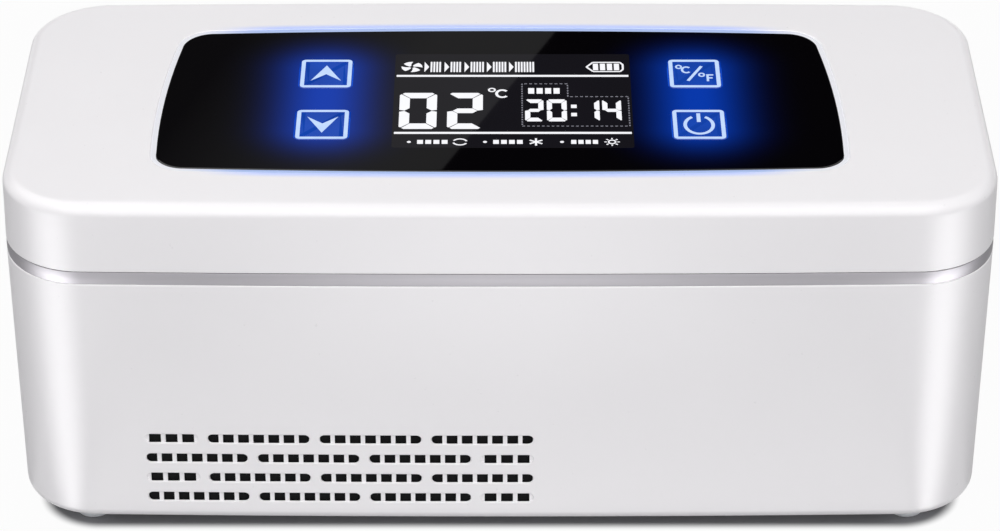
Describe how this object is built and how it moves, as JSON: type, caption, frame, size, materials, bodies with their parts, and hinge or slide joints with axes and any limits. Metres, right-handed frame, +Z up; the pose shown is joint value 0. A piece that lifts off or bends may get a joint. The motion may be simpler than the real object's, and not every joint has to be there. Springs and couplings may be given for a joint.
{
  "type": "insulin cooling case",
  "caption": "Low rounded white tabletop cooling case with a rear-hinged lid carrying a smoked display panel with keys, a bright rim band, slotted front air outlet and a cold tray for pens.",
  "frame": {"origin": "on the table under the middle of the case, level with the undersides of the feet", "axes": "+X to the right seen from the front, +Y to the rear hinge, +Z up through the lid"},
  "size_m": [0.205, 0.091, 0.0815],
  "materials": {
    "white_abs": "gloss",
    "silver_band": "satin",
    "silicone": "matte",
    "anodised_aluminium": "satin",
    "foam": "matte",
    "module_ceramic": "matte",
    "black_plastic": "satin",
    "cell_sleeve": "satin",
    "circuit_board": "satin",
    "clear_rubber": "satin",
    "screw_steel": "satin",
    "nickel_magnet": "polished",
    "smoked_acrylic": "polished",
    "light_guide": "gloss",
    "display_glass": "polished",
    "backlight": "matte",
    "lit_key": "gloss"
  },
  "bodies": {
    "case": {"body_shell": "white_abs", "base_cover": "white_abs", "trim_band": "silver_band", "deck_frame": "white_abs", "deck_seal": "silicone", "cold_tray": "anodised_aluminium", "insulation_tub": "foam", "cold_block": "anodised_aluminium", "peltier_module": "module_ceramic", "peltier_seal": "foam", "heat_sink": "anodised_aluminium", "fan_frame": "black_plastic", "battery_holder": "black_plastic", "battery_cell_front": "cell_sleeve", "battery_cell_rear": "cell_sleeve", "main_board": "circuit_board", "dc_socket": "black_plastic", "foot_front_left": "clear_rubber", "foot_front_right": "clear_rubber", "foot_rear_left": "clear_rubber", "foot_rear_right": "clear_rubber", "base_screw_front_left": "screw_steel", "base_screw_front_right": "screw_steel", "base_screw_rear_left": "screw_steel", "base_screw_rear_right": "screw_steel", "deck_magnet_left": "nickel_magnet", "deck_magnet_right": "nickel_magnet", "hinge_pin_left": "screw_steel", "hinge_pin_right": "screw_steel"},
    "lid": {"lid_shell": "white_abs", "lid_liner": "white_abs", "lid_foam": "foam", "control_panel": "smoked_acrylic", "panel_light_guide": "light_guide", "display_glass": "display_glass", "display_backlight": "backlight", "control_board": "circuit_board", "key_switch_up": "black_plastic", "key_switch_down": "black_plastic", "key_switch_unit": "black_plastic", "key_switch_power": "black_plastic", "lid_magnet_left": "nickel_magnet", "lid_magnet_right": "nickel_magnet", "lid_screw_front_left": "screw_steel", "lid_screw_front_right": "screw_steel", "lid_screw_rear_left": "screw_steel", "lid_screw_rear_right": "screw_steel"},
    "fan": {"fan_rotor": "black_plastic"},
    "up_key": {"key_up": "lit_key"},
    "down_key": {"key_down": "lit_key"},
    "unit_key": {"key_unit": "lit_key"},
    "power_key": {"key_power": "lit_key"}
  },
  "joints": [
    {"name": "lid_hinge", "type": "hinge", "parent": "case", "child": "lid", "pos_m": [0, 0.0405, 0.0711], "axis": [-1, 0, 0], "range_deg": [0, 90]},
    {"name": "fan_spin", "type": "hinge", "parent": "case", "child": "fan", "pos_m": [-0.033, 0, 0.01], "axis": [0, 0, 1], "continuous": true},
    {"name": "up_key_press", "type": "slide", "parent": "lid", "child": "up_key", "axis": [0, 0, -1], "range_m": [0, 0.0004], "stiffness_N_per_m": 2500, "springref_m": -0.0002},
    {"name": "down_key_press", "type": "slide", "parent": "lid", "child": "down_key", "axis": [0, 0, -1], "range_m": [0, 0.0004], "stiffness_N_per_m": 2500, "springref_m": -0.0002},
    {"name": "unit_key_press", "type": "slide", "parent": "lid", "child": "unit_key", "axis": [0, 0, -1], "range_m": [0, 0.0004], "stiffness_N_per_m": 2500, "springref_m": -0.0002},
    {"name": "power_key_press", "type": "slide", "parent": "lid", "child": "power_key", "axis": [0, 0, -1], "range_m": [0, 0.0004], "stiffness_N_per_m": 2500, "springref_m": -0.0002}
  ]
}
